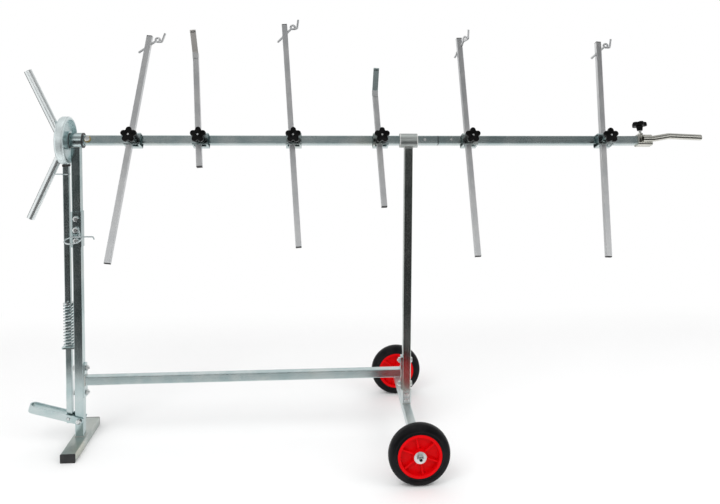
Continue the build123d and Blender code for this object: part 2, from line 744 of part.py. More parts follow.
# Spray gun holder: one wire, from a tail hook once round a ring to an eye under the middle splice bolt
def make_gun_holder():
    eye_y = -splice_face - holder_wire / 2 - fit / 2
    ring_y = -splice_face - holder_out
    ring_z = splice_centre - holder_drop
    back_y = ring_y + holder_ring
    tail_x = holder_side + holder_tail
    points = [(tail_x + holder_wire, back_y, ring_z - 2 * holder_wire), (tail_x, back_y, ring_z)]
    radii = [holder_wire]
    corner_radius = holder_ring / cos(radians(180 / ring_corners))
    for step in range(ring_corners):
        angle = radians(90 + 360 / ring_corners * (step + 0.5))
        climb = holder_lift * holder_wire * step / (ring_corners - 1)
        across, along = corner_radius * cos(angle), corner_radius * sin(angle)
        tipped = (holder_ring - along) * tan(radians(holder_tilt))
        points.append((holder_side + across, ring_y + along, ring_z + climb - tipped))
        radii.append(ring_bend * holder_ring if step < ring_corners - 1 else stem_bend * holder_wire)
    points.append((holder_eye + holder_wire, eye_y, splice_centre - stem_bend * holder_eye))
    points.append((holder_eye, eye_y, splice_centre))
    radii.append(eye_bend * holder_wire)
    wire = bent_wire(points, holder_wire, radii)
    return wire + Plane(origin=(0, eye_y, splice_centre), z_dir=Y_DIR) * Torus(holder_eye, holder_wire / 2)


def build():
    nodes = {}
    nodes["foot_tube"], nodes["foot_caps"] = make_foot()
    nodes["head_post_lower"], nodes["head_post_upper"], nodes["splice_sleeve"] = make_head_post()
    nodes["stretcher"] = make_stretcher()
    nodes["rear_post"] = make_rear_post()
    nodes["axle_beam"] = make_axle_beam()
    nodes["frame_bolts"] = make_frame_bolts()
    nodes["head_bushes"] = make_head_bushes()
    nodes["wheel_axles"], nodes["axle_nuts"] = make_axles()
    nodes["rod_guide"] = make_rod_guide()
    nodes["pedal_bolt"] = make_pedal_bolt()
    nodes["gun_holder"] = make_gun_holder()
    nodes["brake_disc"] = make_brake_disc()
    nodes["journal"] = make_journal()
    nodes["handle_bars"] = make_handles()
    nodes["beam_front"], nodes["beam_back"], nodes["beam_spigot"], nodes["beam_bolts"] = make_beam()
    nodes["rear_bushes"] = make_rear_bushes()
    nodes["pedal"] = make_pedal()
    nodes["brake_rod"], nodes["brake_shoe"], nodes["rod_pins"] = make_brake_rod()
    nodes["hairpin_clip"] = make_clip()
    nodes["return_spring"] = make_spring()
    for name, side in (("near", -1), ("far", 1)):
        nodes[f"tyre_{name}"], nodes[f"rim_{name}"] = make_wheel(side)
    for number, (place, tilt, above, below, hook) in enumerate(arms, 1):
        nodes[f"clamp_{number}"] = make_clamp(place + clamp_offset)
        nodes[f"knob_{number}"] = make_arm_knob(place + clamp_offset)
        nodes[f"arm_{number}"], nodes[f"arm_caps_{number}"] = make_arm(place, tilt, above, below, hook)
    nodes["end_handle"] = make_end_handle()
    nodes["end_knob"] = make_end_knob()
    return nodes


def save(nodes):
    os.makedirs("parts", exist_ok=True)
    for name, shape in nodes.items():
        solids = shape if isinstance(shape, list) else [shape]
        whole = [solid for piece in solids for solid in piece.solids()]
        export_step(whole[0] if len(whole) == 1 else Compound(whole), f"parts/{name}.step")


save(build())
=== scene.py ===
import math

import bmesh
import bpy
from mathutils import Matrix, Vector


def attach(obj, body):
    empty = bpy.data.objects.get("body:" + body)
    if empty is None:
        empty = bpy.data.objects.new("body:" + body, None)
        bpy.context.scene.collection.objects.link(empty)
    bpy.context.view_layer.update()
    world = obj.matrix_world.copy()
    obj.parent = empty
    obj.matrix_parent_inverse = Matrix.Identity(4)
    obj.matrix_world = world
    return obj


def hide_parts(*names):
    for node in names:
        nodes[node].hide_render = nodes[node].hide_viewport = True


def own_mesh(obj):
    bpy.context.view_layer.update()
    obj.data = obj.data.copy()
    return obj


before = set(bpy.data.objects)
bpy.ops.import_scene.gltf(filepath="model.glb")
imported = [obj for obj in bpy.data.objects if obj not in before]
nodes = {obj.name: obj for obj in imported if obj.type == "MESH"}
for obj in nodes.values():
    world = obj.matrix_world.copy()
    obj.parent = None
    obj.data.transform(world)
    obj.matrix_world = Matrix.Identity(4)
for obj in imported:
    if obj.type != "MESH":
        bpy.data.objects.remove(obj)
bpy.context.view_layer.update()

# sizes repeated from the model, in metres, and the beam's roll at rest
stand = {"beamHeight": 1.075, "roll": math.radians(20.0), "beamJoint": 1.264, "tubeHalf": 0.015,
         "sleeveHalf": 0.018, "rearX": 1.158, "wheelY": 0.350, "wheelRadius": 0.100}
# each arm's place along the beam, tilt and reach above the beam, and its kind of hook and the hook's turn
arms = ({"x": 0.190, "tilt": 5.8, "above": 0.385, "hook": "rod", "turn": 0.0},
        {"x": 0.420, "tilt": -4.5, "above": 0.319, "hook": "strip", "turn": -2.0},
        {"x": 0.742, "tilt": -4.2, "above": 0.436, "hook": "rod", "turn": 0.0},
        {"x": 1.049, "tilt": -3.3, "above": 0.178, "hook": "strip", "turn": 6.5},
        {"x": 1.369, "tilt": -1.6, "above": 0.389, "hook": "rod", "turn": -54.0},
        {"x": 1.868, "tilt": 3.7, "above": 0.381, "hook": "rod", "turn": 0.0})
armNumbers = range(1, len(arms) + 1)


# shader maths

class Value:
    # one output socket; expressions on it add Math nodes
    def __init__(self, shader, socket):
        self.shader, self.socket = shader, socket

    def math(self, operation, first, second):
        return self.shader.add("ShaderNodeMath", {"operation": operation}, {0: first, 1: second})

    def __add__(self, other):
        return self.math("ADD", self, other)

    def __radd__(self, other):
        return self.math("ADD", other, self)

    def __sub__(self, other):
        return self.math("SUBTRACT", self, other)

    def __rsub__(self, other):
        return self.math("SUBTRACT", other, self)

    def __mul__(self, other):
        return self.math("MULTIPLY", self, other)

    def __rmul__(self, other):
        return self.math("MULTIPLY", other, self)

    def __pow__(self, other):
        return self.math("POWER", self, other)

    def __rpow__(self, other):
        return self.math("POWER", other, self)


class Shader:
    # a node tree, with one way to add any node
    def __init__(self, tree):
        self.nodes, self.links = tree.nodes, tree.links
        self.nodes.clear()

    def add(self, kind, settings=None, inputs=None, output=0):
        node = self.nodes.new(kind)
        for name, setting in (settings or {}).items():
            setattr(node, name, setting)
        for name, given in (inputs or {}).items():
            if isinstance(given, Value):
                self.links.new(given.socket, node.inputs[name])
            else:
                node.inputs[name].default_value = given
        return Value(self, node.outputs[output]) if node.outputs else None

    def place(self):
        return self.add("ShaderNodeTexCoord", output="Object")

    def along(self, axis):
        return self.add("ShaderNodeSeparateXYZ", {}, {"Vector": self.place()}, axis)

    def stretched(self, scale):
        return self.add("ShaderNodeMapping", {}, {"Vector": self.place(), "Scale": scale})

    def noise(self, scale, detail=3.0, roughness=0.5, vector=None):
        return self.add("ShaderNodeTexNoise", {}, {"Vector": vector or self.place(), "Scale": scale,
                                                   "Detail": detail, "Roughness": roughness})

    def between(self, value, low, high):
        return self.add("ShaderNodeMapRange", {"interpolation_type": "SMOOTHSTEP"},
                        {"Value": value, "From Min": low, "From Max": high, "To Min": 0.0, "To Max": 1.0})

    def mixColour(self, factor, first, second):
        return self.add("ShaderNodeMix", {"data_type": "RGBA"}, {0: factor, 6: first, 7: second}, output=2)

    def bump(self, height, strength, distance=0.001):
        return self.add("ShaderNodeBump", {}, {"Height": height, "Strength": strength, "Distance": distance})

    def emit(self, tone):
        return self.add("ShaderNodeEmission", {}, {"Color": tone, "Strength": 1.0})

    def finish(self, surface, kind="ShaderNodeOutputMaterial"):
        self.add(kind, {}, {"Surface": surface})


def colour(red, green, blue):
    return (red, green, blue, 1.0)


def grey(level):
    return colour(level, level, level)


noiseMiddle = 0.5  # what a noise gives on average


def newMaterial(name):
    material = bpy.data.materials.new(name)
    material.use_nodes = True
    return material, Shader(material.node_tree)


# zinc plated steel: cloudy bluish plating, drawing lines along the tube, faint yellow passivation
# each noise is its scale, detail and roughness; roughParts are the shares of clouds, lines and scuffs
zinc = {"tone": (0.420, 0.525, 0.530), "pale": (0.570, 0.640, 0.640), "paleFrom": 0.36, "paleTo": 0.66,
        "yellow": (0.580, 0.560, 0.440), "yellowShare": 0.35, "yellowFrom": 0.55, "yellowTo": 0.75,
        "rough": 0.19, "roughSpread": 0.10, "roughParts": (0.5, 0.42, 0.08), "metal": 1.0, "bump": 0.005,
        "lines": (300.0, 3.0, 0.6), "lineShare": 0.25, "clouds": (14.0, 4.0, 0.55),
        "patches": (5.5, 2.0, 0.5), "scuffs": (160.0, 2.0, 0.7),
        # above topFrom the zinc takes the top tone: the rear sleeve's own finish, and painted shade on the
        # hook strips
        "topFrom": None, "topSoft": 0.003, "topFinishAndShadeTone": None, "topDull": 0.0,
        "seamAt": None, "seamHalf": 0.0009, "seamTone": (0.030, 0.034, 0.034)}
drawn = 0.012  # scale of the lines' noise along the tube, which draws them out
alongAxis = {"X": (drawn, 1.0, 1.0), "Y": (1.0, drawn, 1.0), "Z": (1.0, 1.0, drawn), "none": (1.0, 1.0, 1.0)}


def zincSteel(name, axis, changes):
    look = dict(zinc, **changes)
    material, shader = newMaterial(name)
    lines = shader.noise(*look["lines"], vector=shader.stretched(alongAxis[axis]))
    clouds, patches, scuffs = (shader.noise(*look[key]) for key in ("clouds", "patches", "scuffs"))
    share = look["lineShare"]
    lighter = shader.between(clouds * (1 - share) + lines * share, look["paleFrom"], look["paleTo"])
    plated = shader.mixColour(lighter, colour(*look["tone"]), colour(*look["pale"]))
    yellowed = shader.between(patches, look["yellowFrom"], look["yellowTo"]) * look["yellowShare"]
    tinted = shader.mixColour(yellowed, plated, colour(*look["yellow"]))
    cloudPart, linePart, scuffPart = look["roughParts"]
    uneven = clouds * cloudPart + lines * linePart + scuffs * scuffPart - noiseMiddle
    rough = look["rough"] + uneven * (2 * look["roughSpread"])
    if look["topFrom"] is not None:  # what is welded on above this height has its own finish; on the hook strips its darker tone is painted shade
        top = shader.between(shader.along("Z"), look["topFrom"], look["topFrom"] + look["topSoft"])
        tinted = shader.mixColour(top, tinted, colour(*look["topFinishAndShadeTone"]))
        rough = rough + top * look["topDull"]
    if look["seamAt"] is not None:  # dark line where two tubes meet end to end
        away = shader.along("X") - look["seamAt"]
        clear = shader.between(away * away, look["seamHalf"] ** 2, (2 * look["seamHalf"]) ** 2)
        tinted = shader.mixColour(clear, colour(*look["seamTone"]), tinted)
    shader.finish(shader.add("ShaderNodeBsdfPrincipled", {}, {
        "Base Color": tinted, "Metallic": look["metal"], "Roughness": rough,
        "Normal": shader.bump(lines, look["bump"])}))
    return material


# turned steel: rings round an axis along X, worn bright where the shoe rubs
turned = {"tone": (0.520, 0.640, 0.650), "pale": (0.670, 0.755, 0.760), "paleFrom": 0.38, "paleTo": 0.64,
          "worn": (0.800, 0.880, 0.885), "wornFrom": 0.074, "wornTo": 0.082, "wornRough": 0.16, "rough": 0.30,
          "ringRough": 0.12, "cloudRough": 0.14, "metal": 0.9, "bump": 0.06,
          "ringScale": 900.0, "ringDetail": 2.0, "ringShare": 0.45, "clouds": (22.0, 3.0)}


def turnedSteel(name, height):
    material, shader = newMaterial(name)
    across, up = shader.along("Y"), shader.along("Z") - height
    radius = (across * across + up * up) ** 0.5
    rings = shader.add("ShaderNodeTexNoise", {"noise_dimensions": "1D"},
                       {"W": radius * turned["ringScale"], "Detail": turned["ringDetail"]})
    clouds = shader.noise(*turned["clouds"])
    share = turned["ringShare"]
    lighter = shader.between(rings * share + clouds * (1 - share), turned["paleFrom"], turned["paleTo"])
    tone = shader.mixColour(lighter, colour(*turned["tone"]), colour(*turned["pale"]))
    worn = shader.between(radius, turned["wornFrom"], turned["wornTo"])
    tone = shader.mixColour(worn, tone, colour(*turned["worn"]))
    rough = (turned["rough"] + (rings - noiseMiddle) * turned["ringRough"]
             + (clouds - noiseMiddle) * turned["cloudRough"] + worn * turned["wornRough"])
    shader.finish(shader.add("ShaderNodeBsdfPrincipled", {}, {
        "Base Color": tone, "Metallic": turned["metal"], "Roughness": rough,
        "Normal": shader.bump(rings, turned["bump"])}))
    return material


# moulded plastic and rubber: fine grain and a slightly uneven tone and gloss
mouldings = {
    "blackCap": {"tone": (0.016, 0.016, 0.017), "pale": (0.030, 0.030, 0.031), "rough": 0.50,
                 "spread": 0.16, "specular": 0.32, "grain": 900.0, "clouds": 30.0, "bump": 0.12},
    "knobBlack": {"tone": (0.002, 0.002, 0.002), "pale": (0.005, 0.005, 0.005), "rough": 0.20,
                  "spread": 0.10, "specular": 0.08, "grain": 700.0, "clouds": 60.0, "bump": 0.03},
    "rimRed": {"tone": (0.660, 0.001, 0.003), "pale": (0.740, 0.001, 0.004), "rough": 0.34,
               "spread": 0.14, "specular": 0.07, "grain": 500.0, "clouds": 26.0, "bump": 0.04},
    "tyreRubber": {"tone": (0.003, 0.003, 0.004), "pale": (0.010, 0.010, 0.011), "rough": 0.40,
                   "spread": 0.20, "specular": 0.13, "grain": 650.0, "clouds": 20.0, "bump": 0.15},
    "bushBlack": {"tone": (0.020, 0.020, 0.022), "pale": (0.035, 0.035, 0.036), "rough": 0.42,
                  "spread": 0.12, "specular": 0.5, "grain": 800.0, "clouds": 40.0, "bump": 0.08},
    "bushPale": {"tone": (0.430, 0.440, 0.430), "pale": (0.520, 0.525, 0.510), "rough": 0.46,
                 "spread": 0.12, "specular": 0.4, "grain": 800.0, "clouds": 40.0, "bump": 0.08},
    "shoeRubber": {"tone": (0.018, 0.017, 0.016), "pale": (0.036, 0.034, 0.032), "rough": 0.70,
                   "spread": 0.16, "specular": 0.35, "grain": 500.0, "clouds": 60.0, "bump": 0.25},
}
moulding = {"paleFrom": 0.35, "paleTo": 0.70, "grainDetail": 2.0, "grainRough": 0.6}


def moulded(name, look):
    material, shader = newMaterial(name)
    grain = shader.noise(look["grain"], moulding["grainDetail"], moulding["grainRough"])
    clouds = shader.noise(look["clouds"])
    lighter = shader.between(clouds, moulding["paleFrom"], moulding["paleTo"])
    shader.finish(shader.add("ShaderNodeBsdfPrincipled", {}, {
        "Base Color": shader.mixColour(lighter, colour(*look["tone"]), colour(*look["pale"])),
        "Roughness": look["rough"] + (clouds - noiseMiddle) * look["spread"],
        "Specular IOR Level": look["specular"],
        "Normal": shader.bump(grain, look["bump"])}))
    return material


# zinc finishes: the way their drawing lines run, and what they change in the plain zinc
satin = {"tone": (0.640, 0.655, 0.665), "pale": (0.740, 0.748, 0.750), "yellowShare": 0.08, "rough": 0.33}
zincFinishes = {
    "zincX": ("X", {}), "zincZ": ("Z", {}), "zincnone": ("none", {}), "satin": ("Z", satin),
    "hardware": ("none", {"tone": (0.690, 0.720, 0.720), "pale": (0.810, 0.825, 0.815), "yellowShare": 0.20,
                          "rough": 0.30}),
    "wireZinc": ("none", {"tone": (0.600, 0.680, 0.690), "pale": (0.760, 0.810, 0.815), "yellowShare": 0.15,
                          "rough": 0.22}),
    "rearZinc": ("Z", {"tone": (0.460, 0.505, 0.485), "pale": (0.610, 0.640, 0.615), "yellowShare": 0.45,
                       "topFrom": 1.046, "topFinishAndShadeTone": (0.500, 0.535, 0.520), "topDull": 0.26}),
    "beamZinc": ("X", {"seamAt": stand["beamJoint"]}),
    "softZinc": ("X", {"rough": 0.24, "roughSpread": 0.09}),
    # painted shade: above the arm's tube the hook strips of arms 2 and 4 take a darker tone, grey-brown on
    # arm 2
    "strip_arm_2_painted_shade": ("Z", dict(satin, topFrom=1.3845, topFinishAndShadeTone=(0.470, 0.455, 0.435))),
    "strip_arm_4_painted_shade": ("Z", dict(satin, topFrom=1.2525, topFinishAndShadeTone=(0.330, 0.395, 0.395))),
    "paleZinc": ("Y", {"tone": (0.560, 0.640, 0.645), "pale": (0.690, 0.740, 0.740), "rough": 0.36}),
    "warmZinc": ("Y", {"tone": (0.390, 0.440, 0.420), "pale": (0.520, 0.550, 0.520), "yellowShare": 0.60,
                       "rough": 0.32}),
    "handleZinc": ("Z", {"tone": (0.720, 0.770, 0.775), "pale": (0.820, 0.850, 0.850), "yellowShare": 0.10,
                         "rough": 0.25, "roughSpread": 0.02, "bump": 0.0, "metal": 0.88}),
    "gripZinc": ("X", {"tone": (0.590, 0.590, 0.540), "pale": (0.720, 0.710, 0.650), "rough": 0.22,
                       "roughSpread": 0.05, "bump": 0.0}),
    "yellowZinc": ("none", {"tone": (0.560, 0.430, 0.170), "pale": (0.640, 0.520, 0.260),
                            "yellow": (0.500, 0.480, 0.260), "yellowShare": 0.6, "rough": 0.30}),
    "weldZinc": ("none", {"tone": (0.430, 0.440, 0.420), "pale": (0.560, 0.565, 0.540), "yellowShare": 0.45,
                          "rough": 0.42}),
}
materials = {name: zincSteel(name, axis, changes) for name, (axis, changes) in zincFinishes.items()}
materials["turned"] = turnedSteel("turned", stand["beamHeight"])
for name, look in mouldings.items():
    materials[name] = moulded(name, look)
print("materials:", len(materials))

finishes = {
    "zincX": ["beam_spigot", "pedal"],
    "softZinc": ["stretcher"],
    "beamZinc": ["beam_front", "beam_back"],
    "gripZinc": ["end_handle"],
    "paleZinc": ["axle_beam", "wheel_axles"],
    "warmZinc": ["foot_tube"],
    "handleZinc": ["handle_bars"],
    "zincZ": ["head_post_lower", "head_post_upper", "splice_sleeve", "brake_rod"],
    "rearZinc": ["rear_post"],
    "zincnone": ["rod_guide"] + [f"clamp_{number}" for number in armNumbers],
    "wireZinc": ["gun_holder", "hairpin_clip", "return_spring"],
    "satin": ["arm_1", "arm_3", "arm_5", "arm_6"],
    # arms 2 and 4 carry painted shade on their hook strips
    "strip_arm_2_painted_shade": ["arm_2"],
    "strip_arm_4_painted_shade": ["arm_4"],
    "hardware": ["frame_bolts", "axle_nuts", "pedal_bolt", "beam_bolts", "rod_pins"],
    "turned": ["brake_disc", "journal"],
    "blackCap": ["foot_caps"] + [f"arm_caps_{number}" for number in armNumbers],
    "knobBlack": ["end_knob"] + [f"knob_{number}" for number in armNumbers],
    "rimRed": ["rim_near", "rim_far"],
    "tyreRubber": ["tyre_near", "tyre_far"],
    "bushBlack": ["head_bushes"],
    "bushPale": ["rear_bushes"],
    "shoeRubber": ["brake_shoe"],
}
for finish, names in finishes.items():
    for name in names:
        for slot in nodes[name].material_slots:
            slot.material = materials[finish]
print("finishes assigned to", sum(len(names) for names in finishes.values()), "nodes")


# mesh helpers

class Shape:
    # points and faces of one piece, gathered from several forms
    def __init__(self):
        self.points, self.faces = [], []

    def join(self, points, faces, place=None):
        start = len(self.points)
        place = place or Matrix()
        self.points += [place @ Vector(point) for point in points]
        self.faces += [[start + corner for corner in face] for face in faces]
        return self

    def polar(self, rows, segments, place=None):
        # each row gives radius and height at an angle; rows are joined in order
        points, faces = [], []
        for row in rows:
            for step in range(segments):
                angle = 2 * math.pi * step / segments
                radius, height = row(angle)
                points.append((radius * math.cos(angle), radius * math.sin(angle), height))
        for low in range(len(rows) - 1):
            for step in range(segments):
                after = (step + 1) % segments
                first, second = low * segments, (low + 1) * segments
                faces.append((first + step, first + after, second + after, second + step))
        return self.join(points, faces, place)

    def revolve(self, profile, segments, place=None):
        return self.polar([lambda angle, pair=pair: pair for pair in profile], segments, place)

    def tube(self, path, radii, sides=8, closed=False):
        # round section along a path; radii gives the section's size at each point
        points, faces = [], []
        count = len(path)
        normal = None
        for step, point in enumerate(path):
            before = path[step - 1] if step or closed else path[0]
            after = path[(step + 1) % count] if step < count - 1 or closed else path[-1]
            along = (after - before).normalized()
            normal = normal or along.orthogonal().normalized()
            normal = (normal - along * normal.dot(along)).normalized()
            across = along.cross(normal)
            for side in range(sides):
                turn = 2 * math.pi * side / sides
                points.append(point + (normal * math.cos(turn) + across * math.sin(turn)) * radii[step])
        for step in range(count if closed else count - 1):
            first, second = step * sides, (step + 1) % count * sides
            for side in range(sides):
                after = (side + 1) % sides
                faces.append((first + side, first + after, second + after, second + side))
        if not closed:
            faces += [tuple(range(sides)), tuple(range((count - 1) * sides, count * sides))]
        return self.join(points, faces)


meshing = {"merge": 1e-6, "degenerate": 1e-7, "sharp": 32.0}


def addPiece(name, shape, finish, body, sharp=meshing["sharp"], standsFor=()):
    form = bmesh.new()
    corners = [form.verts.new(point) for point in shape.points]
    for face in shape.faces:
        form.faces.new([corners[corner] for corner in face])
    bmesh.ops.remove_doubles(form, verts=form.verts, dist=meshing["merge"])
    bmesh.ops.dissolve_degenerate(form, edges=form.edges, dist=meshing["degenerate"])
    bmesh.ops.recalc_face_normals(form, faces=form.faces)
    for face in form.faces:
        face.smooth = True
    for edge in form.edges:
        edge.smooth = len(edge.link_faces) == 2 and edge.calc_face_angle() < math.radians(sharp)
    mesh = bpy.data.meshes.new(name)
    form.to_mesh(mesh)
    form.free()
    mesh.materials.append(materials[finish])
    piece = bpy.data.objects.new(name, mesh)
    bpy.context.collection.objects.link(piece)
    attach(piece, body)
    if standsFor:
        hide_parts(*standsFor)
    return piece


def facing(at, direction):
    # a frame at a point, its Z along the direction
    turn = Vector(direction).to_track_quat("Z", "Y").to_matrix().to_4x4()
    return Matrix.Translation(at) @ turn


beamFrame = Matrix.Translation((0, 0, stand["beamHeight"])) @ Matrix.Rotation(-stand["roll"], 4, "X")


# bolts, nuts and washers; bevel is a share of half the flats, boreBevel of the bore,
# dome of the flat top and of its height, washerSoft of the washer's thickness
bolts = {"radius": 0.005, "flats": 0.017, "head": 0.0064, "nut": 0.008, "nutBore": 0.0046, "end": 0.004,
         "pitch": 0.0015, "threadDepth": 0.0009, "bevel": 0.95, "bevelSlope": math.tan(math.radians(30.0)),
         "boreBevel": 0.12, "dome": ((0.55, 1.015), (0.0, 1.02)), "washerSoft": 0.25, "segments": 36}
# a thread's ends in shares of its depth
thread = {"segments": 18, "stepsPerTurn": 4, "fewestSteps": 3, "foot": 1.2, "tip": 1.4, "tipRise": 0.6}


def hexRadius(angle, flats):
    turn = angle % (math.pi / 3) - math.pi / 6
    return flats / 2 / math.cos(turn)


def addHex(shape, place, flats, height, bore=0.0, bothEnds=False):
    # hexagon whose corners are turned off to a circle, as on a real head
    flat, bevel = flats / 2 * bolts["bevel"], bore * bolts["boreBevel"]

    def drop(angle):
        return (hexRadius(angle, flats) - flat) * bolts["bevelSlope"]

    rows = [lambda a: (bore, 0.0), lambda a: (flat, 0.0),
            lambda a: (hexRadius(a, flats), drop(a) if bothEnds else 0.0),
            lambda a: (hexRadius(a, flats), height - drop(a)), lambda a: (flat, height)]
    if bore:
        rows += [lambda a: (bore + bevel, height), lambda a: (bore, height - bevel), lambda a: (bore, 0.0)]
    else:
        for share, rise in bolts["dome"]:
            rows.append(lambda a, share=share, rise=rise: (flat * share, height * rise))
    return shape.polar(rows, bolts["segments"], place)


def addThread(shape, place, radius, length, pitch, depth):
    # helical thread: the radius follows the turn of the helix
    foot, tip = radius - depth * thread["foot"], radius - depth * thread["tip"]
    end = length + depth * thread["tipRise"]
    rows = [lambda a: (0.0, 0.0), lambda a: (foot, 0.0)]
    steps = max(thread["fewestSteps"], int(length / (pitch / thread["stepsPerTurn"])))
    for step in range(steps + 1):
        height = length * step / steps

        def row(angle, height=height):
            wave = abs(2 * ((height / pitch - angle / (2 * math.pi)) % 1.0) - 1)
            return radius - depth * (1 - wave), height

        rows.append(row)
    rows += [lambda a: (tip, end), lambda a: (0.0, end)]
    return shape.polar(rows, thread["segments"], place)


def addWasher(shape, place, radius, bore, thick):
    soft = thick * bolts["washerSoft"]
    profile = [(bore, soft), (bore + soft, 0.0), (radius - soft, 0.0), (radius, soft),
               (radius, thick - soft), (radius - soft, thick), (bore + soft, thick), (bore, thick - soft),
               (bore, soft)]
    return shape.revolve(profile, bolts["segments"], place)


def addBolt(shape, seat, direction, grip, place=None):
    # head outside the seat, nut and thread past the grip
    frameHere = (place or Matrix()) @ facing(seat, direction)
    back = frameHere @ Matrix.Rotation(math.pi, 4, "X")
    addHex(shape, back, bolts["flats"], bolts["head"])
    nutSeat = frameHere @ Matrix.Translation((0, 0, grip))
    addHex(shape, nutSeat, bolts["flats"], bolts["nut"], bolts["nutBore"], True)
    length = bolts["nut"] + bolts["end"]
    addThread(shape, nutSeat, bolts["radius"], length, bolts["pitch"], bolts["threadDepth"])
    return shape


frameBolts = {"spliceHeights": (0.728, 0.766, 0.804), "eyeStand": 0.005, "flangeHeights": (0.184, 0.272),
              "flangeGrip": 0.036, "socketHeights": (0.129, 0.151)}


def makeFrameBolts():
    face, half, rear = stand["sleeveHalf"], stand["tubeHalf"], stand["rearX"]
    shape = Shape()
    for step, height in enumerate(frameBolts["spliceHeights"]):
        # the gun holder's eye is under the middle bolt
        seat = face + (frameBolts["eyeStand"] if step == 1 else 0.0)
        addBolt(shape, (0, -seat, height), (0, 1, 0), face + seat)
    for height in frameBolts["flangeHeights"]:
        addBolt(shape, (-half, 0, height), (1, 0, 0), frameBolts["flangeGrip"])
        addBolt(shape, (rear + half, 0, height), (-1, 0, 0), frameBolts["flangeGrip"])
    for height in frameBolts["socketHeights"]:
        addBolt(shape, (rear, -face, height), (0, 1, 0), 2 * face)
    addPiece("frameBolts", shape, "hardware", "frame", standsFor=["frame_bolts"])


pedalPivot = {"seat": 0.0208, "height": 0.088}


def makePedalBolt():
    seat, height = pedalPivot["seat"], pedalPivot["height"]
    shape = addBolt(Shape(), (0, -seat, height), (0, 1, 0), 2 * seat)
    addPiece("pedalBolt", shape, "hardware", "frame", standsFor=["pedal_bolt"])


# the bolt through journal and beam, and the two countersunk screws at the beam's joint;
# a profile is shares of its radius, and heights
crossBolt = {"x": 0.042, "washer": 0.01176, "washerBore": 0.00525, "washerThick": 0.0016,
             "screwOffset": 0.048, "screwSegments": 24,
             "recess": 0.0022, "recessProfile": ((0.0, -0.0012), (0.8, -0.0010), (1.0, 0.00005)),
             "screw": 0.0048,
             "screwProfile": ((0.96, 0.0001), (1.0, -0.0001), (0.62, -0.0018), (0.0, -0.0018))}


def makeBeamBolts():
    half, thick = stand["tubeHalf"], crossBolt["washerThick"]
    shape = Shape()
    addBolt(shape, (crossBolt["x"], -half - thick, 0), (0, 1, 0), 2 * half + thick, beamFrame)
    profile = [(crossBolt["recess"] * share, height) for share, height in crossBolt["recessProfile"]]
    profile += [(crossBolt["screw"] * share, height) for share, height in crossBolt["screwProfile"]]
    for side in (-1, 1):
        x = stand["beamJoint"] + side * crossBolt["screwOffset"]
        shape.revolve(profile, crossBolt["screwSegments"], beamFrame @ facing((x, -half, 0), (0, -1, 0)))
    addPiece("beamBolts", shape, "hardware", "rotor", standsFor=["beam_bolts"])
    seat = beamFrame @ facing((crossBolt["x"], -half, 0), (0, -1, 0))
    washer = addWasher(Shape(), seat, crossBolt["washer"], crossBolt["washerBore"], thick)
    addPiece("crossBoltWasher", washer, "yellowZinc", "rotor")


axleEnds = {"inner": 0.3217, "innerWasher": 0.017, "innerBore": 0.00808,
            "outer": 0.3753, "outerWasher": 0.020, "outerBore": 0.00606, "thick": 0.003,
            "flats": 0.019, "nut": 0.010, "nutBore": 0.00558,
            "thread": 0.006072, "threadLength": 0.0134, "pitch": 0.00175, "depth": 0.0010}


def makeAxleNuts():
    shape = Shape()
    thick = axleEnds["thick"]
    for side in (-1, 1):
        def at(distance):
            return facing((stand["rearX"], side * distance, stand["wheelRadius"]), (0, side, 0))
        for end in ("inner", "outer"):
            addWasher(shape, at(axleEnds[end]), axleEnds[end + "Washer"], axleEnds[end + "Bore"], thick)
        seat = at(axleEnds["outer"] + thick)
        addHex(shape, seat, axleEnds["flats"], axleEnds["nut"], axleEnds["nutBore"], True)
        addThread(shape, seat, axleEnds["thread"], axleEnds["threadLength"],
                  axleEnds["pitch"], axleEnds["depth"])
    addPiece("axleNuts", shape, "hardware", "frame", standsFor=["axle_nuts"])


# star knobs, each a moulded grip on a threaded screw
# skirt and shoulder are shares of the star's radius, at heights above the skirt and below the top;
# dimple and dotEnd are shares of their own radius, at heights from the top and from the dot's foot
knob = {"radius": 0.0275, "lobes": 5, "lobe": 0.0095, "core": 0.019, "blend": 14.0, "thick": 0.015,
        "hub": 0.016, "hubTop": 0.0125, "hubBottom": 0.010, "hubSoft": 0.001, "hubGap": 0.0004,
        "segments": 80,
        "skirt": ((0.90, 0.0), (0.965, 0.0006), (1.0, 0.0022), (1.0, 0.0075)),
        "shoulder": ((0.995, 0.0042), (0.975, 0.0020), (0.935, 0.0007), (0.87, 0.0001)),
        "dimple": ((1.25, 0.0), (1.05, 0.0002), (0.96, -0.0008), (0.4, -0.0012), (0.0, -0.0012)),
        "dot": 0.0034, "dotDeep": 0.0014, "dotSegments": 24,
        "dotEnd": ((1.0, 0.0016), (0.8, 0.0024), (0.0, 0.0026)),
        "screw": 0.005, "screwIn": 0.002, "pitch": 0.0015, "depth": 0.0009, "sharp": 50.0,
        "aside": 0.007, "low": 0.00375, "armTip": 0.0354, "armScrew": 0.0283,
        "endPlace": 2.025, "endTip": 0.0152, "endScrew": 0.0238}


def starRadius(angle):
    ring = knob["radius"] - knob["lobe"]
    step = 2 * math.pi / knob["lobes"]
    turn = (angle - math.pi / 2 + step / 2) % step - step / 2
    reach = knob["lobe"] ** 2 - (ring * math.sin(turn)) ** 2
    lobe = ring * math.cos(turn) + math.sqrt(reach) if reach > 0 else 0.0
    power = knob["blend"]
    return (knob["core"] ** power + lobe ** power) ** (1 / power)


